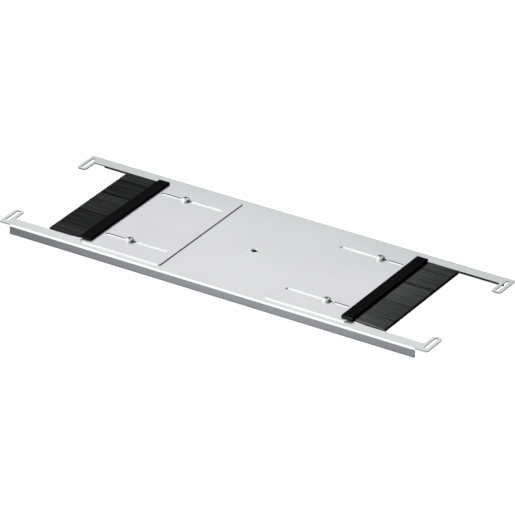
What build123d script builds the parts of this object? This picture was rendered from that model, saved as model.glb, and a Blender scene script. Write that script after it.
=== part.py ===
from build123d import *
import math
import os

# A cable entry plate for the floor or roof of an 800 mm wide cabinet. A folded sheet with an open
# window at each end carries two sliding plates. Each of them holds a brush that closes the window
# around the cables, and two clamp screws in its slots set how far it reaches out.
# X runs along the plate, Y from its front fold to its back fold, Z up. The origin is the middle of
# the plate, at the height of the fold edges that it stands on. All sizes are in millimetres.

# Base sheet
PLATE_LENGTH = 695.0        # over the fixing ears
PLATE_DEPTH = 238.0         # over the two folds
SHEET = 1.5                 # sheet thickness
FLANGE_HEIGHT = 14.4        # top of the sheet to the edge of the folds
BEND_INSIDE = 2.0           # inside radius of the folds

# Cable windows, open at the ends of the sheet
WINDOW_WIDTH = 200.0
WINDOW_DEPTH = 177.0        # from the end of the sheet inwards
WINDOW_CORNER = 2.0

# Fixing ears at the tips of the four arms, with a slot along Y in each
EAR_WIDTH = 15.0
EAR_REACH = 25.0            # how far an ear stands into the window
EAR_STEP = 1.5              # the arm's tip stands back from the fold
FLANGE_RELIEF = 4.0         # the fold stops short of the ear
EAR_TIP_RADIUS = 5.5
EAR_HEEL_RADIUS = 3.0
EAR_SLOT_WIDTH = 5.5
EAR_SLOT_WALL = 3.4         # sheet left between the slot and the ear's tip
EAR_SLOT_HEEL = 6.9         # sheet left between the slot and the arm's outer edge

# Sliding plates, which lie on the base sheet
SLIDE_SHEET = 1.5
SLIDE_LENGTH = 130.5        # along X
SLIDE_WIDTH = 215.0         # along Y
SLIDE_CORNER = 4.0
SLOT_LENGTH = 101.0
SLOT_WALL = 12.3            # sheet left between a slot and the inner edge
LEFT_SETTING = 58.4         # how far each plate is pushed in from its outermost place
RIGHT_SETTING = 62.0

# Clamp screws, size M5, with washers on top and clinch nuts below the base sheet
SCREW_THREAD = 5.0
SCREW_LENGTH = 8.0          # below the head
SCREW_SPACING = 141.0       # between the two screws of a sliding plate, along Y
SCREW_MARGIN = 10.5         # from the window's inner edge to the screws
HEAD_DIAMETER = 11.8
HEAD_HEIGHT = 3.4
HEAD_SIDE = 1.0             # the head's upright side, below its dome
RECESS_BLADE = 1.5          # one blade of the cross recess
RECESS_SPAN = 5.8
RECESS_DEPTH = 1.8
RECESS_TAPER = 12.0         # degrees
WASHER_DIAMETER = 12.5
WASHER_THICKNESS = 1.0
NUT_DIAMETER = 8.7
NUT_HEIGHT = 2.0            # below the base sheet
NUT_COLLAR = 6.4            # the collar that is pressed into the sheet
NUT_CHAMFER = 0.4

# Earthing point in the middle of the plate, a clinch nut of size M8
EARTH_THREAD = 8.0
EARTH_DIAMETER = 12.7
EARTH_HEIGHT = 5.5
EARTH_COLLAR = 10.5
EARTH_CHAMFER = 0.6

# Brush profile, one black extrusion clipped on the outer edge of each sliding plate
LIP_WIDTH = 17.7            # over the whole profile
LIP_THICKNESS = 2.3
LIP_ROUND = 0.7
BEAD_WIDTH = 1.6            # bead along the lip's inner edge, which bears on the sliding plate
BEAD_HEIGHT = 0.8
HOOK_WIDTH = 13.6           # the lower lip, from the outer face
HOOK_THICKNESS = 1.8
HOOK_ROUND = 0.6
WEB_THICKNESS = 5.5
WEB_DROP = 3.6              # from the top of the base sheet to the web's lower edge
MOUTH_DEPTH = 1.2           # the narrow mouth of the groove that holds the bristles
POCKET_DEPTH = 2.2          # the wider pocket behind it
POCKET_EXTRA = 0.4          # the pocket stands this far above and below the mouth

# Bristle mats
LEFT_BRISTLES = 52.6        # free length, which is trimmed a little shorter on the right
RIGHT_BRISTLES = 49.4
BRISTLE_THICKNESS = 3.2     # where the mat leaves the profile
BRISTLE_DROOP = 1.5         # how far the lower tufts sink on their way to the tips
BRISTLE_DROP = 0.1          # from the top of the base sheet to the middle of the mat's root
RIDGE_PITCH = 2.7           # tufts that show as fine ridges
RIDGE_DEPTH = 0.3
PARTINGS = 4                # deeper furrows where the mat parts
PARTING_PITCH = 49.0
PARTING_DEPTH = 0.7

# Clearances
SLOT_CLEARANCE = 0.5        # slot width over the screw's thread
WASHER_CLEARANCE = 0.3      # washer bore over the screw's thread
THREAD_CLEARANCE = 0.1      # nut bore over the screw's thread
PRESS_CLEARANCE = 0.1       # hole in the sheet over the nut's collar
COLLAR_CLEARANCE = 0.1      # the collar ends this far below the sheet's top
GRIP_CLEARANCE = 0.1        # the profile's clip, above and below the sliding plate
EDGE_CLEARANCE = 0.2        # between the sliding plate's edge and the web
PROFILE_CLEARANCE = 0.5     # between the profile's ends and the sides of the window
BRISTLE_CLEARANCE = 2.7     # between the mat's ends and the sides of the window
ROOT_CLEARANCE = 0.1        # around the mat's root in its groove
TUFT_OVERLAP = 0.2          # the two layers of tufts run this far into each other at the tips

# Places worked out from the sizes
OVERRUN = 5.0               # cutting shapes pass this far through what they cut
deck = FLANGE_HEIGHT        # top of the base sheet
half_length = PLATE_LENGTH / 2
half_window = WINDOW_WIDTH / 2
window_end = half_length - WINDOW_DEPTH
ear_inner = half_length - EAR_WIDTH
ear_tip = half_window - EAR_REACH
arm_edge = PLATE_DEPTH / 2 - EAR_STEP
ear_slot_near = ear_tip + EAR_SLOT_WALL
ear_slot_far = arm_edge - EAR_SLOT_HEEL
flange_end = ear_inner - FLANGE_RELIEF
screw_x = window_end - SCREW_MARGIN
screw_y = SCREW_SPACING / 2
slot_width = SCREW_THREAD + SLOT_CLEARANCE
slide_inner = screw_x - slot_width / 2 - SLOT_WALL
slide_outer = slide_inner + SLIDE_LENGTH
slide_top = deck + SLIDE_SHEET
profile_outer = slide_outer + EDGE_CLEARANCE + WEB_THICKNESS
mat_middle = deck - BRISTLE_DROP
clamp_places = [(side * screw_x, row * screw_y) for side in (-1, 1) for row in (-1, 1)]


def rounded(outline, radius, chosen):
    """The outline with the corners that are chosen rounded."""
    return fillet(outline.vertices().filter_by(chosen), radius)


def both_ends(shape):
    """A right-hand shape together with its mirror image at the left-hand end."""
    return shape + mirror(shape, Plane.YZ)


# Base plate
def folded_channel():
    """The sheet with its two folds, as one bent section drawn along X."""
    outside = Pos(0, FLANGE_HEIGHT / 2) * Rectangle(PLATE_DEPTH, FLANGE_HEIGHT)
    outside = rounded(outside, BEND_INSIDE + SHEET, lambda v: v.Y > SHEET)
    inside_height = FLANGE_HEIGHT - SHEET
    inside = Pos(0, inside_height / 2) * Rectangle(PLATE_DEPTH - 2 * SHEET, inside_height)
    inside = rounded(inside, BEND_INSIDE, lambda v: v.Y > SHEET)
    return extrude(Plane.YZ * (outside - inside), flange_end, both=True)


def window_opening():
    """Plan of the right-hand window in the folded length, with its two inner corners round."""
    length = flange_end + OVERRUN - window_end
    opening = Pos(window_end + length / 2, 0) * Rectangle(length, WINDOW_WIDTH)
    return rounded(opening, WINDOW_CORNER, lambda v: v.X < flange_end)


def arm_tips():
    """Plan of the flat sheet past the folds: the tips of two arms with their fixing ears."""
    length = half_length - flange_end
    tips = Pos(flange_end + length / 2, 0) * Rectangle(length, 2 * arm_edge)
    tips -= Pos(flange_end, 0) * Rectangle(2 * (ear_inner - flange_end), WINDOW_WIDTH)
    tips -= Pos(half_length, 0) * Rectangle(2 * EAR_WIDTH + OVERRUN, 2 * ear_tip)
    middle = (ear_tip + half_window) / 2
    heel = (half_window + arm_edge) / 2
    neck = (flange_end + ear_inner) / 2
    tips = rounded(tips, EAR_TIP_RADIUS, lambda v: abs(v.Y) < middle)
    tips = rounded(tips, WINDOW_CORNER, lambda v: middle < abs(v.Y) < heel and v.X > neck)
    tips = rounded(tips, EAR_HEEL_RADIUS, lambda v: abs(v.Y) > heel and v.X > ear_inner)
    slot = SlotOverall(ear_slot_far - ear_slot_near, EAR_SLOT_WIDTH, rotation=90)
    for side in (-1, 1):
        tips -= Pos(half_length - EAR_WIDTH / 2, side * (ear_slot_near + ear_slot_far) / 2) * slot
    return tips


def base_plate():
    under = deck - SHEET
    plate = folded_channel()
    opening = extrude(Pos(0, 0, under - OVERRUN) * window_opening(), SHEET + 2 * OVERRUN)
    plate -= both_ends(opening)
    plate += both_ends(extrude(Pos(0, 0, under) * arm_tips(), SHEET))
    holes = Locations(*[(x, y, under) for x, y in clamp_places])
    hole = Cylinder((NUT_COLLAR + PRESS_CLEARANCE) / 2, 2 * SHEET + OVERRUN)
    plate -= [place * hole for place in holes]
    plate -= Pos(0, 0, under) * Cylinder((EARTH_COLLAR + PRESS_CLEARANCE) / 2, 2 * SHEET + OVERRUN)
    return plate


# Sliding plate, drawn as are its profile and mat for the right-hand end, pushed out all the way
def sliding_plate():
    """The right-hand sliding plate, with a clamp slot along X on each side."""
    centre = (slide_inner + slide_outer) / 2
    plan = Pos(centre, 0) * RectangleRounded(SLIDE_LENGTH, SLIDE_WIDTH, SLIDE_CORNER)
    slot_x = slide_inner + SLOT_WALL + SLOT_LENGTH / 2
    for side in (-1, 1):
        plan -= Pos(slot_x, side * screw_y) * SlotOverall(SLOT_LENGTH, slot_width)
    return extrude(Pos(0, 0, deck) * plan, SLIDE_SHEET)


# Clamp screws, washers and nuts
def clamp_screw():
    """Pan head screw with a cross recess, its head's seat at z = 0."""
    thread = SCREW_THREAD / 2
    head = HEAD_DIAMETER / 2
    dome = HEAD_HEIGHT - HEAD_SIDE
    dome_radius = (head ** 2 + dome ** 2) / (2 * dome)
    outline = Polyline(
        (0, HEAD_HEIGHT), (0, -SCREW_LENGTH), (thread, -SCREW_LENGTH), (thread, 0), (head, 0),
        (head, HEAD_SIDE))
    section = make_face(outline + RadiusArc((head, HEAD_SIDE), (0, HEAD_HEIGHT), -dome_radius))
    screw = revolve(Plane.XZ * section, Axis.Z)
    cross = Rectangle(RECESS_SPAN, RECESS_BLADE) + Rectangle(RECESS_BLADE, RECESS_SPAN)
    screw -= extrude(Pos(0, 0, HEAD_HEIGHT) * cross, -RECESS_DEPTH, taper=RECESS_TAPER)
    return screw


def clamp_washer():
    """Flat washer with its lower face at z = 0."""
    ring = Circle(WASHER_DIAMETER / 2) - Circle((SCREW_THREAD + WASHER_CLEARANCE) / 2)
    return extrude(ring, WASHER_THICKNESS)


def clinch_nut(thread, collar, diameter, height, edge):
    """Round clinch nut below the sheet, with its collar up in the sheet's hole."""
    nut = Pos(0, 0, -height / 2) * Cylinder(diameter / 2, height)
    nut = chamfer(nut.edges().group_by(Axis.Z)[0], edge)
    collar_height = SHEET - COLLAR_CLEARANCE
    nut += Pos(0, 0, collar_height / 2) * Cylinder(collar / 2, collar_height)
    return nut - Cylinder(thread / 2, 2 * (height + SHEET + OVERRUN))


def at_clamps(piece, height):
    """One copy of the piece at each clamp, as a group of separate solids."""
    return Compound(children=[Pos(x, y, height) * piece for x, y in clamp_places])


# Brush profile
def brush_profile():
    """Right-hand extrusion: lip, web and hook around the sliding plate, and the bristle groove."""
    bead_low = slide_top + GRIP_CLEARANCE
    lip_under = bead_low + BEAD_HEIGHT
    lip_top = lip_under + LIP_THICKNESS
    hook_top = deck - GRIP_CLEARANCE
    web_low = deck - WEB_DROP
    lip_inner = profile_outer - LIP_WIDTH
    hook_inner = profile_outer - HOOK_WIDTH
    web_inner = profile_outer - WEB_THICKNESS
    bead_outer = lip_inner + BEAD_WIDTH
    hook_under = hook_top - HOOK_THICKNESS
    section = make_face(Polyline(
        (lip_inner, lip_top), (profile_outer, lip_top), (profile_outer, web_low),
        (web_inner, web_low), (web_inner, hook_under), (hook_inner, hook_under),
        (hook_inner, hook_top), (web_inner, hook_top), (web_inner, lip_under),
        (bead_outer, lip_under), (bead_outer, bead_low), (lip_inner, bead_low), close=True))
    section = rounded(section, LIP_ROUND, lambda v: v.Y > lip_top - LIP_ROUND)
    section = rounded(section, HOOK_ROUND, lambda v: v.X < web_inner - HOOK_ROUND and v.Y < deck)
    mouth = BRISTLE_THICKNESS + 2 * ROOT_CLEARANCE
    pocket = mouth + 2 * POCKET_EXTRA
    section -= Pos(profile_outer, mat_middle) * Rectangle(2 * (MOUTH_DEPTH + POCKET_DEPTH), mouth)
    section -= (Pos(profile_outer - MOUTH_DEPTH - POCKET_DEPTH / 2, mat_middle)
                * Rectangle(POCKET_DEPTH, pocket))
    length = WINDOW_WIDTH - 2 * PROFILE_CLEARANCE
    return extrude(Plane.XZ * section, length / 2, both=True)


# Bristle mats
def furrow_depths():
    """Places along Y of the furrows between the tufts, with the depth of each."""
    width = WINDOW_WIDTH - 2 * BRISTLE_CLEARANCE
    tufts = round(width / RIDGE_PITCH)
    pitch = width / tufts
    partings = [(k - (PARTINGS - 1) / 2) * PARTING_PITCH for k in range(PARTINGS)]
    furrows = []
    for k in range(1, tufts):
        y = k * pitch - width / 2
        at_parting = any(abs(y - p) <= pitch / 2 for p in partings)
        furrows.append((y, PARTING_DEPTH if at_parting else RIDGE_DEPTH))
    return pitch, width, furrows


def tuft_layer(length):
    """The mat's upper half: ridged tufts on a flat underside, drawn along X from the root."""
    pitch, width, furrows = furrow_depths()
    half = width / 2
    crest = BRISTLE_THICKNESS / 2
    underside = -(BRISTLE_DROOP + TUFT_OVERLAP) / 2
    outline = [(-half, underside), (-half, crest - RIDGE_DEPTH)]
    for y, depth in furrows:
        outline.append((y - pitch / 2, crest))
        outline.append((y, crest - depth))
    outline.append((half - pitch / 2, crest))
    outline.append((half, crest - RIDGE_DEPTH))
    outline.append((half, underside))
    return extrude(Plane.YZ * make_face(Polyline(*outline, close=True)), length)


def bristle_mat(length):
    """Right-hand mat: a level layer of tufts, one that droops, and the fused root in its groove."""
    layer = tuft_layer(length)
    droop = math.degrees(math.atan(BRISTLE_DROOP / length))
    mat = layer + Rot(0, droop, 0) * mirror(layer, Plane.XY)
    width = WINDOW_WIDTH - 2 * BRISTLE_CLEARANCE
    neck_length = MOUTH_DEPTH + ROOT_CLEARANCE
    neck = Box(neck_length, width, BRISTLE_THICKNESS, align=(Align.MAX, Align.CENTER, Align.CENTER))
    root_height = BRISTLE_THICKNESS + 2 * POCKET_EXTRA
    root = Box(POCKET_DEPTH - 2 * ROOT_CLEARANCE, width, root_height,
               align=(Align.MAX, Align.CENTER, Align.CENTER))
    mat += neck + Pos(-neck_length, 0, 0) * root
    return Pos(profile_outer, 0, mat_middle) * mat


def write(name, shape):
    export_step(shape, os.path.join("parts", name + ".step"))


os.makedirs("parts", exist_ok=True)
write("base_plate", base_plate())
for side, setting, free_length in (("right", RIGHT_SETTING, RIGHT_BRISTLES),
                                   ("left", LEFT_SETTING, LEFT_BRISTLES)):
    for name, shape in (("sliding_plate", sliding_plate()), ("brush_profile", brush_profile()),
                        ("bristles", bristle_mat(free_length))):
        placed = Pos(-setting, 0, 0) * shape
        write(side + "_" + name, placed if side == "right" else mirror(placed, Plane.YZ))
write("clamp_washers", at_clamps(clamp_washer(), slide_top))
write("clamp_screws", at_clamps(clamp_screw(), slide_top + WASHER_THICKNESS))
write("clamp_nuts", at_clamps(
    clinch_nut(SCREW_THREAD + THREAD_CLEARANCE, NUT_COLLAR, NUT_DIAMETER, NUT_HEIGHT, NUT_CHAMFER),
    deck - SHEET))
write("earth_nut", Pos(0, 0, deck - SHEET) * clinch_nut(
    EARTH_THREAD, EARTH_COLLAR, EARTH_DIAMETER, EARTH_HEIGHT, EARTH_CHAMFER))
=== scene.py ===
import bpy
import math
import random
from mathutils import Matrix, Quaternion, Vector


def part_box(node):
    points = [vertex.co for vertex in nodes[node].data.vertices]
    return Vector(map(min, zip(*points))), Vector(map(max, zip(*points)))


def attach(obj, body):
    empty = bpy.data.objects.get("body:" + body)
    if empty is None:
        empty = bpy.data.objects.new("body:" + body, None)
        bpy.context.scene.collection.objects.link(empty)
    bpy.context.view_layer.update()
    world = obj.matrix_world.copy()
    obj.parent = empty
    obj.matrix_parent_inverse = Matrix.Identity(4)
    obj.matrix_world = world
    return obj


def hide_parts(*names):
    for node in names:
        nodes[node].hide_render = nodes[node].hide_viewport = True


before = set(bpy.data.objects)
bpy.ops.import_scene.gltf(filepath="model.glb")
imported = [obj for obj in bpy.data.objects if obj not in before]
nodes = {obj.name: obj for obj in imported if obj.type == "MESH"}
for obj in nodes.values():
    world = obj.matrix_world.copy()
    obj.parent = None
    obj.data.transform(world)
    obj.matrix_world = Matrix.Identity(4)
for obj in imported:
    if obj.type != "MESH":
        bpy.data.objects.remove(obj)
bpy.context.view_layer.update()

# Camera
# It stands to the right of the plate's front and well above it, far off behind a long lens, so
# that the plate's long edges run almost parallel. The angles were fitted to those edges.
CAMERA_AZIMUTH = math.radians(32.456)
CAMERA_ELEVATION = math.radians(28.332)
CAMERA_DISTANCE = 7.627       # metres
FRAME_PIXELS = 515
FOCAL_PIXELS = 5544.3
SENSOR = 36.0                 # millimetres
AIM = Vector((0.01426, -0.01532, 0.01445))
FAR_LIMIT = 100.0

towards_camera = Vector((
    math.sin(CAMERA_AZIMUTH) * math.cos(CAMERA_ELEVATION),
    -math.cos(CAMERA_AZIMUTH) * math.cos(CAMERA_ELEVATION),
    math.sin(CAMERA_ELEVATION)))
bpy.ops.object.camera_add(location=AIM + CAMERA_DISTANCE * towards_camera)
camera = bpy.context.object
camera.name = "photo_camera"
camera.rotation_euler = (-towards_camera).to_track_quat("-Z", "Y").to_euler()
camera.data.sensor_width = SENSOR
camera.data.lens = SENSOR * FOCAL_PIXELS / FRAME_PIXELS
camera.data.clip_end = FAR_LIMIT
bpy.context.scene.camera = camera


# Base plate
# One sheet of zinc-coated steel, 1.5 mm thick, punched with an open window at each end and folded
# down along both long sides. Its four arms end in flat ears with slots for the fixing screws. The
# earthing sign beside the middle hole is stamped into the sheet.
MM = 0.001
PUNCHED_EDGE = 0.2 * MM       # the small round that punching and coating leave on every edge
FACE_ANGLE = math.radians(30)      # an edge that turns more than this is rounded and stays crisp
FLAT_ANGLE = math.radians(0.5)     # faces that turn less than this are one face
SAME_PLACE = 0.001 * MM       # corners that lie nearer than this are one
SHEET_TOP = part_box("base_plate")[1].z
SIGN_PLACE = (-11.6 * MM, -0.8 * MM)
SIGN_BARS = ((5.2, 0.0), (3.4, -1.3), (1.6, -2.6))      # width and place across, in millimetres
SIGN_STEM = 2.6 * MM
SIGN_LINE = 0.8 * MM
SIGN_DEPTH = 0.25 * MM
SHEET_DARK = (0.662, 0.662, 0.668)
SHEET_LIGHT = (0.70, 0.70, 0.706)
WORN_ZINC = (0.82, 0.82, 0.82)
WORN_SHARE = 0.35             # how far the worn edges take that colour
WORN_ROUGHNESS = 0.08         # what they add to the roughness
DUST_GREY = (0.45, 0.44, 0.42)


def only(piece):
    """Makes the piece the one that is selected."""
    bpy.ops.object.select_all(action="DESELECT")
    piece.select_set(True)
    bpy.context.view_layer.objects.active = piece


def work(piece, kind, **settings):
    """Gives the piece a modifier and applies it."""
    only(piece)
    modifier = piece.modifiers.new(kind.lower(), kind)
    for name, value in settings.items():
        setattr(modifier, name, value)
    bpy.ops.object.modifier_apply(modifier=modifier.name)


def smooth_faces(piece):
    """Smooth shading over curves and crisp shading over flats."""
    only(piece)
    bpy.ops.object.shade_smooth_by_angle(angle=FACE_ANGLE)
    work(piece, "WEIGHTED_NORMAL", keep_sharp=True)


def broken_edges(node, name, edge):
    """A copy of a frame node in which every sharp edge is slightly rounded."""
    piece = bpy.data.objects.new(name, nodes[node].data.copy())
    bpy.context.scene.collection.objects.link(piece)
    only(piece)
    bpy.ops.object.mode_set(mode="EDIT")
    bpy.ops.mesh.select_all(action="SELECT")
    bpy.ops.mesh.customdata_custom_splitnormals_clear()
    bpy.ops.mesh.remove_doubles(threshold=SAME_PLACE)
    bpy.ops.mesh.dissolve_limited(angle_limit=FLAT_ANGLE)
    bpy.ops.object.mode_set(mode="OBJECT")
    work(piece, "BEVEL", width=edge, segments=2, limit_method="ANGLE", angle_limit=FACE_ANGLE)
    return piece


def fitted(piece, body, slot, finish, *stands_for):
    """Puts the piece on its body, in place of the frame nodes that it stands for."""
    piece.data.materials.clear()
    piece.data.materials.append(finish)
    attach(piece, body)
    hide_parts(*stands_for)


def new_group(name, takes, gives):
    """An empty node group with the named inputs, each with its usual value, and outputs."""
    group = bpy.data.node_groups.new(name, "ShaderNodeTree")
    for label, value in takes.items():
        socket = group.interface.new_socket(label, in_out="INPUT", socket_type="NodeSocketFloat")
        socket.default_value = value
    for label in gives:
        group.interface.new_socket(label, in_out="OUTPUT", socket_type="NodeSocketFloat")
    given = group.nodes.new("NodeGroupInput").outputs
    return group, given, group.nodes.new("NodeGroupOutput").inputs


def add(tree, kind, *inputs, **settings):
    """Adds a node with its own settings. Each input is None, a value or another node's output."""
    node = tree.nodes.new("ShaderNode" + kind)
    for name, value in settings.items():
        setattr(node, name, value)
    for socket, value in zip(node.inputs, inputs):
        if isinstance(value, bpy.types.NodeSocket):
            tree.links.new(value, socket)
        elif value is not None:
            socket.default_value = value
    return node


def ramp(tree, value, low, high, out_low=0.0, out_high=1.0):
    """The value, spread from low..high to out_low..out_high."""
    return add(tree, "MapRange", value, low, high, out_low, out_high).outputs["Result"]


def maths(tree, operation, first, second):
    """The two values, added, multiplied or as the operation says."""
    return add(tree, "Math", first, second, operation=operation).outputs[0]


def noise(tree, place, scale, detail):
    """Smooth noise over the place, with the given number of waves a metre and of finer layers."""
    return add(tree, "TexNoise", place, None, scale, detail).outputs[0]


def blended(tree, share, first, second):
    """The first colour, blended into the second by the share."""
    node = tree.nodes.new("ShaderNodeMix")
    node.data_type = "RGBA"
    for label, value in (("Factor", share), ("A", first), ("B", second)):
        socket = next(s for s in node.inputs if s.name == label and s.enabled)
        if isinstance(value, bpy.types.NodeSocket):
            tree.links.new(value, socket)
        else:
            socket.default_value = (*value, 1)
    return next(s for s in node.outputs if s.enabled)


# Rolled grain: fine streaks along X and slow clouds, as rolling and zinc coating leave them.
rolled_grain, takes, gives = new_group(
    "rolled_grain", {"Along": 12.0, "Across": 1400.0, "Cloud Size": 9.0}, ("Streaks", "Clouds"))
place = add(rolled_grain, "TexCoord").outputs["Object"]
stretch = add(rolled_grain, "CombineXYZ", takes["Along"], takes["Across"], takes["Across"])
streaks = add(rolled_grain, "VectorMath", place, stretch.outputs[0], operation="MULTIPLY")
streaky = noise(rolled_grain, streaks.outputs[0], scale=1.0, detail=3.0)
rolled_grain.links.new(streaky, gives["Streaks"])
cloudy = noise(rolled_grain, place, takes["Cloud Size"], detail=4.0)
rolled_grain.links.new(cloudy, gives["Clouds"])

# Edge wear: a mask that is 1 on rounded-over edges and fades within a radius, broken by noise.
edge_wear, takes, gives = new_group("edge_wear", {"Reach": 0.5 * MM, "Patches": 180.0}, ("Edge",))
round_normal = add(edge_wear, "Bevel", takes["Reach"], samples=6).outputs[0]
true_normal = add(edge_wear, "NewGeometry").outputs["Normal"]
turned_off = add(edge_wear, "VectorMath", round_normal, true_normal, operation="DOT_PRODUCT")
bent = ramp(edge_wear, turned_off.outputs["Value"], 0.995, 0.80)
place = add(edge_wear, "TexCoord").outputs["Object"]
patches = ramp(edge_wear, noise(edge_wear, place, takes["Patches"], detail=3.0), 0.35, 0.65, 0.3)
edge_wear.links.new(maths(edge_wear, "MULTIPLY", bent, patches), gives["Edge"])

# Settled dust: a mask for faces that look up, in small uneven patches.
settled_dust, takes, gives = new_group("settled_dust", {"Amount": 0.1, "Patches": 40.0}, ("Dust",))
facing = add(settled_dust, "SeparateXYZ", add(settled_dust, "NewGeometry").outputs["Normal"])
upward = ramp(settled_dust, facing.outputs["Z"], 0.4, 0.95)
place = add(settled_dust, "TexCoord").outputs["Object"]
patches = ramp(settled_dust, noise(settled_dust, place, takes["Patches"], detail=6.0), 0.3, 0.8)
spread = maths(settled_dust, "MULTIPLY", upward, patches)
settled_dust.links.new(maths(settled_dust, "MULTIPLY", spread, takes["Amount"]), gives["Dust"])


def start_material(name):
    """A new node material, with its node tree and its shader's inputs."""
    finish = bpy.data.materials.new(name)
    finish.use_nodes = True
    return finish, finish.node_tree, finish.node_tree.nodes["Principled BSDF"].inputs


def grouped(tree, group, **values):
    """Places a shared group in a material with the material's own values."""
    node = tree.nodes.new("ShaderNodeGroup")
    node.node_tree = group
    for name, value in values.items():
        node.inputs[name.replace("_", " ")].default_value = value
    return node.outputs


def zinc_finish(name, dark, light, smooth, rough, along, across, grain_height, dust):
    """Zinc on steel: cloudy grey metal with a fine grain, paler worn edges and a trace of dust."""
    finish, tree, shader = start_material(name)
    grain = grouped(tree, rolled_grain, Along=along, Across=across)
    edge = grouped(tree, edge_wear)["Edge"]
    dusty = grouped(tree, settled_dust, Amount=dust)["Dust"]
    colour = blended(tree, ramp(tree, grain["Clouds"], 0.3, 0.7), dark, light)
    colour = blended(tree, maths(tree, "MULTIPLY", edge, WORN_SHARE), colour, WORN_ZINC)
    colour = blended(tree, dusty, colour, DUST_GREY)
    tree.links.new(colour, shader["Base Color"])
    shader["Metallic"].default_value = 1.0
    gloss = ramp(tree, grain["Streaks"], 0.25, 0.75, smooth, rough)
    gloss = maths(tree, "ADD", gloss, maths(tree, "MULTIPLY", edge, WORN_ROUGHNESS))
    tree.links.new(maths(tree, "ADD", gloss, dusty), shader["Roughness"])
    bump = add(tree, "Bump", 0.25, grain_height)
    tree.links.new(grain["Streaks"], bump.inputs["Height"])
    tree.links.new(bump.outputs[0], shader["Normal"])
    return finish


base_plate = broken_edges("base_plate", "folded_base_plate", PUNCHED_EDGE)
bars = []
for width, across in SIGN_BARS:
    bars.append((SIGN_PLACE[0], SIGN_PLACE[1] + across * MM, width * MM, SIGN_LINE))
bars.append((SIGN_PLACE[0], SIGN_PLACE[1] + SIGN_STEM / 2, SIGN_LINE, SIGN_STEM))
for x, y, width, depth in bars:
    bpy.ops.object.select_all(action="DESELECT")
    bpy.ops.mesh.primitive_cube_add(size=1, location=(x, y, SHEET_TOP),
                                    scale=(width, depth, 2 * SIGN_DEPTH))
    stamp = bpy.context.object
    work(base_plate, "BOOLEAN", operation="DIFFERENCE", object=stamp, solver="EXACT")
    bpy.data.objects.remove(stamp)
smooth_faces(base_plate)
fitted(base_plate, "base", "sheet_steel", zinc_finish(
    "zinc_base_sheet", SHEET_DARK, SHEET_LIGHT, smooth=0.27, rough=0.31, along=12, across=1400,
    grain_height=0.0015 * MM, dust=0.02), "base_plate")


# Sliding plates
# Two flat sheets of the same zinc-coated steel, with a long slot on each side. They lie on the base
# plate under the clamp screws, and each carries its brush at its outer edge. Their cut edges are
# coloured paler and made glossier than the faces, a painted highlight along every cut edge.
SLIDE_DARK = (0.646, 0.646, 0.652)
SLIDE_LIGHT = (0.684, 0.684, 0.690)
# painted highlight: the cut edges' pale zinc stands in for the light they catch
EDGE_HIGHLIGHT_DARK = (0.78, 0.78, 0.78)
EDGE_HIGHLIGHT_LIGHT = (0.84, 0.84, 0.84)
CUT_FACE = 0.5                # a face that looks up or down by less than this is a cut edge


def second_finish(piece, finish, chosen):
    """Gives another finish to those faces of the piece that are chosen."""
    piece.data.materials.append(finish)
    for face in piece.data.polygons:
        face.material_index = 1 if chosen(face) else 0


slide_zinc = zinc_finish(
    "zinc_slide_sheet", SLIDE_DARK, SLIDE_LIGHT, smooth=0.26, rough=0.30, along=14, across=1500,
    grain_height=0.0015 * MM, dust=0.02)
painted_edge_highlight = zinc_finish(
    "painted_edge_highlight", EDGE_HIGHLIGHT_DARK, EDGE_HIGHLIGHT_LIGHT, smooth=0.12, rough=0.18, along=14,
    across=1500, grain_height=0.0005 * MM, dust=0.0)
for side in ("left", "right"):
    node = side + "_sliding_plate"
    slide = broken_edges(node, side + "_slotted_slide", PUNCHED_EDGE)
    smooth_faces(slide)
    fitted(slide, side + "_slide", "sheet_steel", slide_zinc, node)
    # the cut edges get the painted highlight
    second_finish(slide, painted_edge_highlight, lambda face: abs(face.normal.z) < CUT_FACE)


# Clamp screws
# Four M5 machine screws of zinc-plated steel with a wide pan head and a cross recess. The heads
# are cold formed, and the rolled thread shows below the nuts.
SCREW_THREAD = 5.0 * MM
SCREW_LENGTH = 8.0 * MM
HEAD_RADIUS = 5.9 * MM
HEAD_SIDE = 1.3 * MM
HEAD_FLATNESS = 0.7           # 1 would be an even dome, less has a flatter top and a steeper rim
HEAD_RINGS = (0.995, 0.975, 0.94, 0.89, 0.82, 0.73, 0.6, 0.4, 0.2, 0.06)     # shares of its radius
SEAT_ROUND = 0.25 * MM        # around the head's underside
CRISP_EDGE = 0.08 * MM        # the fine round on the screw's sharpest edges
CRISP_ANGLE = math.radians(50)
THREAD_PITCH = 0.8 * MM
THREAD_DEPTH = 0.45 * MM
RINGS_A_TURN = 5
RECESS_WIDTH = 1.8 * MM
RECESS_SPAN = 6.6 * MM
RECESS_DEPTH = 1.9 * MM
RECESS_FLOOR = 0.45           # each blade of the cross is this share of its span at its floor
RECESS_TAPER = 0.2            # and this share narrower
RECESS_WALL = 0.8             # a face that looks up by less than this is a wall of the recess
SCREW_TURNS = (20, 65, 48, 5)      # how far each recess happens to be turned, in degrees
SCREW_SIDES = 40
SCREW_DARK = (0.62, 0.62, 0.60)
SCREW_LIGHT = (0.74, 0.74, 0.72)
# painted shade: the cross recess is coloured near black for the shade that falls inside it
RECESS_SHADE_DARK = (0.10, 0.10, 0.10)
RECESS_SHADE_LIGHT = (0.16, 0.16, 0.16)
screw_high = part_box("clamp_screws")[1]
head_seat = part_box("clamp_washers")[1].z
head_height = screw_high.z - head_seat
clamp_x = screw_high.x - HEAD_RADIUS
clamp_y = screw_high.y - HEAD_RADIUS
clamp_places = [(side * clamp_x, row * clamp_y) for side in (-1, 1) for row in (-1, 1)]


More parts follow.
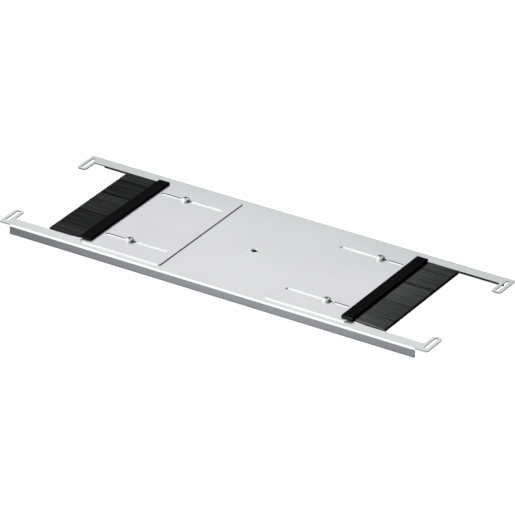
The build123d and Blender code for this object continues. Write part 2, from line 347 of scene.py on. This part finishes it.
def turned(name, stations, sides, closed):
    """A turned piece on the Z axis: one ring for each (radius, height), joined in a closed loop
    or capped at both ends."""
    bpy.ops.object.select_all(action="DESELECT")
    radius, height = stations[0]
    fill = "NOTHING" if closed else "NGON"
    bpy.ops.mesh.primitive_circle_add(vertices=sides, radius=radius, location=(0, 0, height),
                                      fill_type=fill)
    piece = bpy.context.object
    piece.name = name
    bpy.ops.object.transform_apply(location=True)
    bpy.ops.object.mode_set(mode="EDIT")
    bpy.ops.mesh.select_all(action="SELECT")
    for next_radius, next_height in stations[1:]:
        move = {"value": (0, 0, next_height - height)}
        if closed:
            bpy.ops.mesh.extrude_edges_move(TRANSFORM_OT_translate=move)
        else:
            bpy.ops.mesh.extrude_region_move(TRANSFORM_OT_translate=move)
        share = next_radius / radius
        bpy.ops.transform.resize(value=(share, share, 1), center_override=(0, 0, next_height))
        radius, height = next_radius, next_height
    bpy.ops.mesh.select_all(action="SELECT")
    bpy.ops.mesh.remove_doubles(threshold=SAME_PLACE)
    bpy.ops.mesh.normals_make_consistent(inside=False)
    bpy.ops.object.mode_set(mode="OBJECT")
    return piece


def threaded(low, high, radius, pitch):
    """The rings of a thread between two heights, a few for each turn of its helix."""
    count = round((high - low) / pitch * RINGS_A_TURN)
    return [(radius, low + (high - low) * k / count) for k in range(count + 1)]


def cut_thread(piece, low, high, radius, pitch, depth):
    """Moves the rings of the thread in and out along its helix. Depth is towards the axis."""
    for vertex in piece.data.vertices:
        x, y, z = vertex.co
        if low < z < high and abs(math.hypot(x, y) - radius) < SAME_PLACE:
            turn = (z / pitch - math.atan2(y, x) / math.tau) % 1
            share = 1 - depth / radius * abs(2 * turn - 1)
            vertex.co = (x * share, y * share, z)


def copied(piece, name, x, y, z, turn=0.0):
    """A copy of the piece with its own mesh, turned about its axis and set in its place."""
    copy = bpy.data.objects.new(name, piece.data.copy())
    bpy.context.scene.collection.objects.link(copy)
    only(copy)
    copy.location = (x, y, z)
    copy.rotation_euler = (0, 0, turn)
    bpy.ops.object.transform_apply(location=True, rotation=True)
    return copy


head_dome = head_height - HEAD_SIDE
stations = [(SCREW_THREAD / 2 - THREAD_DEPTH, -SCREW_LENGTH)]
stations += threaded(-SCREW_LENGTH + THREAD_DEPTH, -THREAD_DEPTH, SCREW_THREAD / 2, THREAD_PITCH)
stations += [(SCREW_THREAD / 2 - THREAD_DEPTH / 2, 0), (HEAD_RADIUS - SEAT_ROUND, 0),
             (HEAD_RADIUS, SEAT_ROUND), (HEAD_RADIUS, HEAD_SIDE)]
for share in HEAD_RINGS:
    rise = head_dome * (1 - share ** 2) ** HEAD_FLATNESS
    stations.append((share * HEAD_RADIUS, HEAD_SIDE + rise))
screw = turned("clamp_screw", stations, SCREW_SIDES, closed=False)
cut_thread(screw, -SCREW_LENGTH + SAME_PLACE, -THREAD_DEPTH - SAME_PLACE, SCREW_THREAD / 2,
           THREAD_PITCH, THREAD_DEPTH)
for turn in (0, math.pi / 2):
    bpy.ops.object.select_all(action="DESELECT")
    bpy.ops.mesh.primitive_cube_add(size=1, location=(0, 0, head_height),
                                    scale=(RECESS_SPAN, RECESS_WIDTH, 2 * RECESS_DEPTH))
    blade = bpy.context.object
    bpy.ops.object.transform_apply(location=True, scale=True)
    for corner in blade.data.vertices:
        lower = corner.co.z < head_height
        x = corner.co.x * (RECESS_FLOOR if lower else 2 - RECESS_FLOOR)
        y = corner.co.y * (1 - RECESS_TAPER if lower else 1 + RECESS_TAPER)
        corner.co.x = x * math.cos(turn) - y * math.sin(turn)
        corner.co.y = x * math.sin(turn) + y * math.cos(turn)
    work(screw, "BOOLEAN", operation="DIFFERENCE", object=blade, solver="EXACT")
    bpy.data.objects.remove(blade)
work(screw, "BEVEL", width=CRISP_EDGE, segments=1, limit_method="ANGLE", angle_limit=CRISP_ANGLE)
smooth_faces(screw)
screw_zinc = zinc_finish(
    "zinc_plated_screws", SCREW_DARK, SCREW_LIGHT, smooth=0.10, rough=0.16, along=260, across=260,
    grain_height=0.003 * MM, dust=0.03)
# painted shade inside each cross recess
painted_recess_shade = zinc_finish(
    "shaded_recess_zinc", RECESS_SHADE_DARK, RECESS_SHADE_LIGHT, smooth=0.4, rough=0.55, along=260, across=260,
    grain_height=0.003 * MM, dust=0.03)


def in_recess(face, x, y):
    """Whether a face belongs to the cross recess of the screw that stands at x and y."""
    inside = math.hypot(face.center.x - x, face.center.y - y) < RECESS_SPAN / 2
    wall = abs(face.normal.z) < RECESS_WALL and face.center.z > screw_high.z - RECESS_DEPTH
    floor = abs(face.center.z - screw_high.z + RECESS_DEPTH) < SAME_PLACE
    return inside and (wall or floor)


for number, ((x, y), turn) in enumerate(zip(clamp_places, SCREW_TURNS), 1):
    fastener = copied(screw, f"clamp_screw_{number}", x, y, head_seat, math.radians(turn))
    fitted(fastener, "base", "fastener_steel", screw_zinc, "clamp_screws")
    second_finish(fastener, painted_recess_shade, lambda face: in_recess(face, x, y))
bpy.data.objects.remove(screw)


# Washers
# Four flat steel washers, stamped and zinc plated like the screws. Each lies between a screw head
# and the slide, and spreads the head's grip over the slot.
WASHER_RADIUS = 6.25 * MM
WASHER_BORE = 2.65 * MM
WASHER_THICKNESS = 1.0 * MM
WASHER_EDGE = 0.15 * MM
WASHER_UNDER = 0.02 * MM      # each stands this far clear of the slide that moves below it
washer = turned("flat_washer", [
    (WASHER_BORE, WASHER_EDGE), (WASHER_BORE + WASHER_EDGE, WASHER_UNDER),
    (WASHER_RADIUS - WASHER_EDGE, WASHER_UNDER), (WASHER_RADIUS, WASHER_EDGE),
    (WASHER_RADIUS, WASHER_THICKNESS - WASHER_EDGE),
    (WASHER_RADIUS - WASHER_EDGE, WASHER_THICKNESS),
    (WASHER_BORE + WASHER_EDGE, WASHER_THICKNESS),
    (WASHER_BORE, WASHER_THICKNESS - WASHER_EDGE), (WASHER_BORE, WASHER_EDGE)],
    SCREW_SIDES, closed=True)
smooth_faces(washer)
for number, (x, y) in enumerate(clamp_places, 1):
    ring = copied(washer, f"flat_washer_{number}", x, y, head_seat - WASHER_THICKNESS)
    fitted(ring, "base", "fastener_steel", screw_zinc, "clamp_washers")
bpy.data.objects.remove(washer)


# Clinch nuts
# Round steel nuts, turned and tapped, whose collars are pressed into the base plate from below.
# Four small ones take the clamp screws, and a larger one in the middle takes the earthing screw.
NUT_EDGE = 0.3 * MM
SHEET_THICKNESS = 1.5 * MM
CLAMP_NUT = {"thread": 2.55 * MM, "collar": 3.2 * MM, "radius": 4.35 * MM,
             "pitch": THREAD_PITCH, "depth": 0.3 * MM, "sink": 0.3 * MM}
EARTH_NUT = {"thread": 4.0 * MM, "collar": 5.25 * MM, "radius": 6.35 * MM,
             "pitch": 1.25 * MM, "depth": 0.5 * MM, "sink": 0.9 * MM}
NUT_DARK = (0.55, 0.55, 0.54)
NUT_LIGHT = (0.68, 0.68, 0.66)
# painted shade: the earthing nut's threaded bore is coloured near black for the shade inside it
BORE_SHADE_DARK = (0.05, 0.05, 0.05)
BORE_SHADE_LIGHT = (0.08, 0.08, 0.08)
nut_low, nut_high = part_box("clamp_nuts")
earth_low, earth_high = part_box("earth_nut")
sheet_under = SHEET_TOP - SHEET_THICKNESS


def clinch_nut(name, low, high, thread, collar, radius, pitch, depth, sink):
    """One nut from its lower face up: body, collar, and the threaded bore with its sunk ends.
    Thread, collar and radius are radii, and depth is the thread's."""
    edge = NUT_EDGE / 2
    body = [(thread + depth, low), (radius - NUT_EDGE, low), (radius, low + NUT_EDGE),
            (radius, sheet_under - edge), (radius - edge, sheet_under)]
    neck = [(collar, sheet_under), (collar, high - edge), (collar - edge, high),
            (thread + sink, high)]
    bore = list(reversed(threaded(low + depth, high - sink, thread, pitch)))
    nut = turned(name, body + neck + bore + body[:1], SCREW_SIDES, closed=True)
    cut_thread(nut, low + depth + SAME_PLACE, high - sink - SAME_PLACE, thread, pitch, depth)
    smooth_faces(nut)
    return nut


def in_earth_bore(face):
    """Whether a face belongs to the earthing nut's threaded bore."""
    inside = math.hypot(face.center.x, face.center.y) < EARTH_NUT["thread"] + SAME_PLACE
    return inside and face.center.z < earth_high.z - EARTH_NUT["sink"]


nut_zinc = zinc_finish(
    "zinc_plated_nuts", NUT_DARK, NUT_LIGHT, smooth=0.22, rough=0.34, along=300, across=300,
    grain_height=0.003 * MM, dust=0.0)
# painted shade in the earthing nut's bore
painted_bore_shade = zinc_finish(
    "painted_bore_shade", BORE_SHADE_DARK, BORE_SHADE_LIGHT, smooth=0.5, rough=0.6, along=300, across=300,
    grain_height=0.003 * MM, dust=0.0)
nut = clinch_nut("clinch_nut", nut_low.z, nut_high.z, **CLAMP_NUT)
for number, (x, y) in enumerate(clamp_places, 1):
    copy = copied(nut, f"clinch_nut_{number}", x, y, 0)
    fitted(copy, "base", "fastener_steel", nut_zinc, "clamp_nuts")
bpy.data.objects.remove(nut)
earth_nut = clinch_nut("earthing_nut", earth_low.z, earth_high.z, **EARTH_NUT)
fitted(earth_nut, "base", "fastener_steel", nut_zinc, "earth_nut")
second_finish(earth_nut, painted_bore_shade, in_earth_bore)


# Brush profiles
# Two lengths of black plastic extrusion, sawn to length. Lip and hook clip around the slide's outer
# edge, and the groove in the web holds the bristles. The sawn ends are rough and greyer, and the
# right end is painted lighter than the left, a painted difference in light.
EXTRUDED_EDGE = 0.2 * MM
PROFILE_BLACK = (0.0018, 0.0018, 0.0019)
PROFILE_PALE = (0.0026, 0.0026, 0.0028)
WORN_PLASTIC = (0.12, 0.12, 0.12)
PLASTIC_WEAR = 0.06           # how far the worn edges take that colour
DUST_ON_BLACK = (0.25, 0.24, 0.23)
# the grey is the sawn plastic's own; the left end is painted darker and the right lighter for the
# light that falls on them
SAWN_GREYS_AND_PAINTED_LIGHT = {"left": 0.010, "right": 0.034}
SAWN_PALE = (1.25, 1.25, 1.28)     # the paler patches against that grey
SAWN_FACE = 0.9               # a face that looks along Y by more than this is a sawn end


def plastic_finish(name, colour, pale, roughness, shine, streak_height):
    """Extruded plastic: nearly even colour, fine die lines along Y, a trace of dust."""
    finish, tree, shader = start_material(name)
    grain = grouped(tree, rolled_grain, Along=900.0, Across=14.0)
    edge = grouped(tree, edge_wear, Reach=0.3 * MM)["Edge"]
    dusty = grouped(tree, settled_dust, Amount=0.003)["Dust"]
    tone = blended(tree, ramp(tree, grain["Clouds"], 0.3, 0.7), colour, pale)
    tone = blended(tree, maths(tree, "MULTIPLY", edge, PLASTIC_WEAR), tone, WORN_PLASTIC)
    tone = blended(tree, dusty, tone, DUST_ON_BLACK)
    tree.links.new(tone, shader["Base Color"])
    tree.links.new(ramp(tree, grain["Streaks"], 0.3, 0.7, roughness - 0.05, roughness + 0.05),
                   shader["Roughness"])
    shader["Specular IOR Level"].default_value = shine
    bump = add(tree, "Bump", 0.3, streak_height)
    tree.links.new(grain["Streaks"], bump.inputs["Height"])
    tree.links.new(bump.outputs[0], shader["Normal"])
    return finish


extruded_black = plastic_finish(
    "black_extrusion", PROFILE_BLACK, PROFILE_PALE, roughness=0.42, shine=0.008,
    streak_height=0.006 * MM)
for side, grey in SAWN_GREYS_AND_PAINTED_LIGHT.items():
    sawn_end = plastic_finish(
        side + "_sawn_end", (grey, grey, grey), [grey * part for part in SAWN_PALE],
        roughness=0.7, shine=0.1, streak_height=0.02 * MM)
    node = side + "_brush_profile"
    profile = broken_edges(node, side + "_brush_holder", EXTRUDED_EDGE)
    smooth_faces(profile)
    fitted(profile, side + "_slide", "profile_plastic", extruded_black, node)
    second_finish(profile, sawn_end, lambda face: abs(face.normal.y) > SAWN_FACE)


# Bristle mats
# Thousands of black nylon filaments, fused along their root in the profile's groove. They lie side
# by side in layers and part here and there, and a few stray from the mat. Their colour carries
# painted light: lighter and darker tufts, a pale front row, painted shade in the partings, at the
# tips and under the lip, and the right mat painted lighter than the left, both lighter towards the
# root.
FILAMENTS = 6200
FILAMENT_RADIUS = 0.15 * MM
LAYERS = 9
STATIONS = (0.0, 0.08, 0.55, 1.0)     # points of a filament, as shares of its length
ROOT_IN = 0.8 * MM            # how deep a filament starts inside the profile's mouth
ROOT_HALF = 2.0 * MM          # from the middle of the mat to the top of its fused root
MAT_HALF = 1.6 * MM           # half the mat's thickness where it leaves the profile
PINCH = 0.55                  # the mat is this share of its thickness where the mouth grips it
DROOP = 1.9 * MM              # how far the lowest filaments sink on their way to the tips
NARROW = 1.0 * MM             # how much narrower the mat is at its root, at each end
FAN = 0.7 * MM                # how far the mat's two ends spread on their way to the tips
FAN_POWER = 8                 # which leaves all but the outermost filaments straight
END_REACH = 0.4 * MM          # no filament strays past the mat's ends by more than this
TIP_REACH = 0.3 * MM          # the longest filaments reach this far past the solid's tips
TIP_SCATTER = 0.35 * MM
TIP_SWELL = 1.45              # the filaments' frayed tips against their roots
LEAN_ACROSS = 0.25            # how unevenly they lean, lift and bow, in millimetres
LEAN_UP = 0.12
BOW_ACROSS = 0.12
STRAY_SHARE = 0.012
STRAY_ACROSS = 1.2            # and those that stray
STRAY_UP = 0.5
MAT_PARTINGS = {"left": (-71, -28, 31, 74), "right": (-71, -26, 31, 76)}     # millimetres
PARTING_REACH = 5.0 * MM      # the filaments that lean away from a parting
PARTING_SPREAD = 0.3 * MM
PARTING_CORE = 3.0 * MM       # the filaments that sink into it
PARTING_SINK = 1.1 * MM
PARTING_CLOSE = 0.75          # this share of the sink is gone again at the tips
# painted shade: a filament near a parting's middle may be coloured dark for the shade in the parting
PARTING_SHADE_CHANCE = {"left": 1.1, "right": 0.6}     # chance of a dark filament at a parting's middle
# painted light: each tuft of a mat gets a broad tone for the light it catches, from 0, the darkest,
# to 1
PAINTED_TUFT_LIGHT = {"left": (1.0, 0.28, 0.85, 0.05, 0.65), "right": (0.8, 0.45, 0.75, 0.25, 0.35)}
TONE_SPREAD = 0.22            # how uneven a tuft's shades are, from 0, the darkest, to 1
# painted shade: marks the dark filaments of a parting and of the front row below its highlight
PAINTED_SHADE_MARK = -1.0             # marks the dark filaments of a parting
# painted highlight: the top of the right mat's front row is coloured pale, and the row below it gets
# painted shade
PAINTED_HIGHLIGHT_MARK = 2.0              # marks the pale row along the right mat's front end
EDGE_ROW = 1.6 * MM
EDGE_LEVEL = -0.2             # the row is pale above this level of the mat and dark below
MAT_SEEDS = {"left": 11, "right": 12}
CAP_CORNERS = 8               # a mesh made from curves lists their caps first, the last one's on top
MAT_REACH = (0.22, 0.27)      # the mats lie between these distances from the plate's middle
# painted light: the right mat is coloured lighter than the left, and both are painted lighter
# towards the root
NYLON_AND_PAINTED_LIGHT = {
    "left": {"dark": (0.001, 0.001, 0.001), "light": (0.0305, 0.0302, 0.0298),
             "painted_root_light": 1.24, "painted_tip_light": 1.12, "shine": 0.12},
    "right": {"dark": (0.0085, 0.0085, 0.0082), "light": (0.0400, 0.0397, 0.0385),
              "painted_root_light": 2.36, "painted_tip_light": 1.06, "shine": 0.25}}
CLUMP_SHARE = 0.4             # of a filament's colour, and the rest is its own shade's
OWN_SHARE = 0.6
HIGHLIGHT_ROW_GAIN = 3.2                # the pale row's colour against the lightest filaments
HIGHLIGHT_ROW_SHARE = 0.8
# painted shade: near-black nylon for the partings, the filaments' ends and the roots under the lip
PAINTED_SHADE_DARK = (0.0020, 0.0020, 0.0021)
PAINTED_SHADE_LIGHT = (0.006, 0.006, 0.0062)
# painted shadow at the root, under the profile's lip
PAINTED_ROOT_SHADOW = 1.5 * MM        # the filaments are darkest this near the profile's mouth
# painted shade on the filaments' ends, which face away from the light
TIP_FACE = 0.9                # a face that looks along X by more than this is a filament's end


def near_partings(side, y, level, chance):
    """How far the partings near y lean a filament and let it sink, and whether it gets painted
    shade.
    """
    lean, sink, dark = 0.0, 0.0, False
    for parting in MAT_PARTINGS[side]:
        gap = y - parting * MM
        if abs(gap) < PARTING_REACH:
            lean += math.copysign(PARTING_SPREAD * (1 - abs(gap) / PARTING_REACH), gap)
        if abs(gap) < PARTING_CORE and level > 0:
            deep = 1 - abs(gap) / PARTING_CORE
            sink = PARTING_SINK * deep
            if chance.random() < PARTING_SHADE_CHANCE[side] * deep:
                dark = True
    return lean, sink, dark


def filament_curve(name):
    """An empty curve whose splines become fine rods with closed ends."""
    curve = bpy.data.curves.new(name, "CURVE")
    curve.dimensions = "3D"
    curve.bevel_depth = FILAMENT_RADIUS
    curve.bevel_resolution = 0
    curve.use_fill_caps = True
    return curve


def mat_mesh(name, curve, shades):
    """The mat as a mesh, on which each filament carries its own shade."""
    mat = bpy.data.objects.new(name, curve)
    bpy.context.scene.collection.objects.link(mat)
    only(mat)
    bpy.ops.object.convert(target="MESH")
    mat = bpy.context.object
    mat.name = name
    caps = [shade for shade in reversed(shades) for _ in range(CAP_CORNERS)]
    sides = [shade for shade in shades for _ in range(4 * len(STATIONS))]
    tone = mat.data.attributes.new("shade", "FLOAT", "POINT")
    tone.data.foreach_set("value", caps + sides)
    bpy.ops.object.shade_smooth()
    return mat


def bristle_mat(side):
    """The filaments of one mat, from its lowest layer up and each from root to tip."""
    chance = random.Random(MAT_SEEDS[side])
    out = 1 if side == "right" else -1
    low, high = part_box(side + "_bristles")
    profile_low, profile_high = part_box(side + "_brush_profile")
    mouth = profile_high.x if out > 0 else -profile_low.x
    tip = high.x if out > 0 else -low.x
    half = (high.y - low.y) / 2
    middle = high.z - ROOT_HALF
    spread = MAT_HALF - FILAMENT_RADIUS
    curve = filament_curve(side + "_filaments")
    shades = []
    in_layer = FILAMENTS // LAYERS
    for layer in range(LAYERS):
        for number in range(in_layer):
            y = -half + 2 * half * (number + chance.random()) / in_layer
            level = 2 * (layer + chance.random()) / LAYERS - 1
            lean_y = chance.gauss(0, LEAN_ACROSS) * MM
            lean_z = chance.gauss(0, LEAN_UP) * MM
            length = tip - mouth + TIP_REACH
            length += (chance.gauss(0, 0.3) - abs(chance.gauss(0, 0.3))) * TIP_SCATTER
            tuft = sum(y > parting * MM for parting in MAT_PARTINGS[side])
            shade = min(1, max(0, PAINTED_TUFT_LIGHT[side][tuft] + chance.gauss(0, TONE_SPREAD)))
            lean_y += math.copysign(FAN * abs(y / half) ** FAN_POWER, y) + NARROW * y / half
            # painted highlight along the front row, painted shade below it
            if side == "right" and y + half < EDGE_ROW:
                shade = PAINTED_HIGHLIGHT_MARK if level > EDGE_LEVEL else PAINTED_SHADE_MARK
            parting_lean, sink, dark = near_partings(side, y, level, chance)
            lean_y += parting_lean
            # painted shade in the parting
            if dark:
                shade = PAINTED_SHADE_MARK
            if chance.random() < STRAY_SHARE:
                lean_y += chance.gauss(0, STRAY_ACROSS) * MM
                lean_z += abs(chance.gauss(0, STRAY_UP)) * MM
            bow = chance.gauss(0, BOW_ACROSS) * MM
            spline = curve.splines.new("POLY")
            spline.points.add(len(STATIONS) - 1)
            for point, share in zip(spline.points, STATIONS):
                along = mouth - ROOT_IN + (length + ROOT_IN) * share
                across = y * (1 - NARROW / half) + lean_y * share ** 1.5
                across += bow * math.sin(math.pi * share)
                across = max(-half - END_REACH, min(half + END_REACH, across))
                thickness = spread * (PINCH if share == 0 else 1)
                up = middle + level * thickness - DROOP * (1 - level) / 2 * share
                up += lean_z * share ** 2 - sink * min(1, 3 * share) * (1 - PARTING_CLOSE * share)
                point.co = (out * along, across, up, 1)
                point.radius = 1 + (TIP_SWELL - 1) * share
            shades.append(shade)
    return mat_mesh(side + "_bristle_mat", curve, shades)


def nylon_finish(name, dark, light, painted_root_light, painted_tip_light, shine):
    """Black nylon filament: each one has its own shade, which carries its tuft's painted light, and
    clumps of them catch more light, painted into the colour. The front row's pale colour is a
    painted highlight, and the colour is painted lighter towards the root.
    """
    finish, tree, shader = start_material(name)
    own = add(tree, "Attribute", attribute_name="shade").outputs["Fac"]
    clumps = grouped(tree, rolled_grain, Along=14.0, Across=420.0, Cloud_Size=22.0)
    mix = maths(tree, "MULTIPLY", ramp(tree, clumps["Streaks"], 0.37, 0.63), CLUMP_SHARE)
    mix = maths(tree, "ADD", mix, maths(tree, "MULTIPLY", own, OWN_SHARE))
    colour = blended(tree, mix, dark, light)
    # the painted highlight of the front row
    in_highlight_row = ramp(tree, own, 1, PAINTED_HIGHLIGHT_MARK, 0, HIGHLIGHT_ROW_SHARE)
    colour = blended(tree, in_highlight_row, colour, [HIGHLIGHT_ROW_GAIN * part for part in light])
    place = add(tree, "SeparateXYZ", add(tree, "TexCoord").outputs["Object"])
    along = maths(tree, "ABSOLUTE", place.outputs["X"], None)
    # painted light: the colour grows lighter towards the root
    tone = ramp(tree, along, *MAT_REACH, painted_root_light, painted_tip_light)
    colour = add(tree, "VectorMath", colour, None, operation="SCALE")
    tree.links.new(tone, colour.inputs["Scale"])
    tree.links.new(colour.outputs[0], shader["Base Color"])
    tree.links.new(ramp(tree, clumps["Clouds"], 0.3, 0.7, 0.38, 0.52), shader["Roughness"])
    shader["Specular IOR Level"].default_value = shine
    return finish


def in_painted_shade(face, tones, shadow_end):
    """Whether a face gets painted shade: in a parting, at a filament's end or under the profile's
    lip.
    """
    parted = tones[face.vertices[0]].value < 0
    return parted or abs(face.normal.x) > TIP_FACE or abs(face.center.x) < shadow_end


# painted shade for partings, tips and roots
painted_shade_nylon = plastic_finish("painted_shade_nylon", PAINTED_SHADE_DARK, PAINTED_SHADE_LIGHT, roughness=0.7,
                              shine=0.02, streak_height=0.01 * MM)
for side in ("left", "right"):
    mat = bristle_mat(side)
    nylon = nylon_finish(side + "_nylon", **NYLON_AND_PAINTED_LIGHT[side])
    fitted(mat, side + "_slide", "bristle_nylon", nylon, side + "_bristles")
    profile_low, profile_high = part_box(side + "_brush_profile")
    shadow_end = max(-profile_low.x, profile_high.x) + PAINTED_ROOT_SHADOW
    tones = mat.data.attributes["shade"].data
    second_finish(mat, painted_shade_nylon, lambda face: in_painted_shade(face, tones, shadow_end))


# Floor and light
# The plate stands by its fold edges on a plain pale floor, a white sheet lit from below as on a
# product table. In the metal's reflections the floor shows a painted pool of light before the plate
# and painted shade under it. Soft light comes from all round, strongest overhead and from the
# camera's left, and from one long narrow soft box, whose reflection brightens the flat sheet.
FLOOR_SIZE = 60.0
FLOOR_DROP = 0.2 * MM
FLOOR_WHITE = (0.12, 0.12, 0.12)
FLOOR_GLOW = (1.0, 1.0, 1.0, 1.0)
# painted light and shade, seen only in the metal's reflections: a pool of light painted on the floor
# before the plate, and painted shade under and behind its front
FLOOR_PAINTED_LIGHT = (0.447, 0.445, 0.469)     # what the metal mirrors, where the pool of light is brightest
FLOOR_PAINTED_SHADE = (0.05, 0.05, 0.052)     # and away from it
POOL_CENTRE = 0.06
POOL_HALF = 0.56
POOL_EDGE = (-0.100, -0.125)  # the pool fades in over this stretch of Y
SKY_STRENGTH = 13.5
SKY_TINT = (0.975, 0.995, 1.01)
SKY_CURVE_TOP = 4.0           # the brightness that the top of each sky curve stands for
SKY_BY_HEIGHT = ((0.0, 0.16), (0.15, 0.26), (0.3, 0.64), (0.47, 1.0), (1.0, 1.1))
SKY_BY_SIDE = ((0.0, 2.8), (0.2, 2.4), (0.3, 1.6), (0.42, 0.98), (0.5, 0.92), (0.7, 0.6),
               (0.88, 0.06), (1.0, 0.02))     # from the camera's left to its right
WALL_SPAN = (-0.6, -0.8)      # a pale wall to the left of the camera fades in between these
WALL_LEVEL = 0.1
SOFT_BOX_SIZE = (0.96, 0.30)
SOFT_BOX_TURN = math.radians(-16.8)
SOFT_BOX_DISTANCE = 0.8
SOFT_BOX_POWER = 0.285
SOFT_BOX_TINT = (1.0, 0.955, 0.975)
SOFT_BOX_SPOT = Vector((0.15, -0.17, 0.0))    # where a flat sheet mirrors its middle to the camera

bpy.ops.object.select_all(action="DESELECT")
bpy.ops.mesh.primitive_plane_add(size=FLOOR_SIZE, location=(0, 0, -FLOOR_DROP))
floor = bpy.context.object
floor.name = "pale_floor"
bpy.ops.object.transform_apply(location=True)
pale, tree, shader = start_material("pale_floor")
shader["Roughness"].default_value = 1.0
shader["Specular IOR Level"].default_value = 0.0
# the floor's colour for reflections is a painted pool of light and painted shade
rays = add(tree, "LightPath")
place = add(tree, "SeparateXYZ", add(tree, "TexCoord").outputs["Object"])
off_centre = maths(tree, "SUBTRACT", place.outputs["X"], POOL_CENTRE)
pool = ramp(tree, maths(tree, "MULTIPLY", off_centre, off_centre), 0, POOL_HALF ** 2, 1, 0)
pool = maths(tree, "MULTIPLY", pool, ramp(tree, place.outputs["Y"], *POOL_EDGE))
mirrored_painted_pool = blended(tree, pool, FLOOR_PAINTED_SHADE, FLOOR_PAINTED_LIGHT)
tree.links.new(blended(tree, rays.outputs["Is Glossy Ray"], FLOOR_WHITE, mirrored_painted_pool),
               shader["Base Color"])
shader["Emission Color"].default_value = FLOOR_GLOW
tree.links.new(rays.outputs["Is Camera Ray"], shader["Emission Strength"])
floor.data.materials.append(pale)


def sky_curve(tree, value, points):
    """A curve of brightness over 0 to 1, drawn at a share of its height."""
    node = add(tree, "FloatCurve")
    tree.links.new(value, node.inputs["Value"])
    curve = node.mapping.curves[0]
    while len(curve.points) < len(points):
        curve.points.new(0.5, 0.5)
    for point, (place, level) in zip(curve.points, points):
        point.location = (place, level / SKY_CURVE_TOP)
    node.mapping.update()
    return node.outputs["Value"]


world = bpy.data.worlds.new("studio")
bpy.context.scene.world = world
world.use_nodes = True
tree = world.node_tree
towards = add(tree, "TexCoord").outputs["Generated"]
height = ramp(tree, add(tree, "SeparateXYZ", towards).outputs["Z"], 0, 1)
camera_right = (math.cos(CAMERA_AZIMUTH), math.sin(CAMERA_AZIMUTH), 0)
across = add(tree, "VectorMath", towards, camera_right, operation="DOT_PRODUCT").outputs["Value"]
by_side = sky_curve(tree, ramp(tree, across, -1, 1), SKY_BY_SIDE)
light = maths(tree, "MULTIPLY", sky_curve(tree, height, SKY_BY_HEIGHT), by_side)
light = maths(tree, "MAXIMUM", light, ramp(tree, across, *WALL_SPAN, 0, WALL_LEVEL))
background = tree.nodes["Background"].inputs
tree.links.new(light, background["Strength"])
background["Color"].default_value = [SKY_STRENGTH * part for part in SKY_TINT] + [1]

soft_box = bpy.data.lights.new("soft_box", "AREA")
soft_box.shape = "ELLIPSE"
soft_box.size, soft_box.size_y = SOFT_BOX_SIZE
soft_box.energy = SOFT_BOX_POWER
soft_box.color = SOFT_BOX_TINT
lamp = bpy.data.objects.new("soft_box", soft_box)
bpy.context.scene.collection.objects.link(lamp)
mirror_way = Vector((-towards_camera.x, -towards_camera.y, towards_camera.z))
lamp.location = SOFT_BOX_SPOT + SOFT_BOX_DISTANCE * mirror_way
along_plate = Quaternion((0, 0, 1), SOFT_BOX_TURN)
lamp.rotation_euler = (mirror_way.to_track_quat("Z", "Y") @ along_plate).to_euler()
lamp.visible_camera = False
bpy.context.scene.view_settings.view_transform = "Standard"
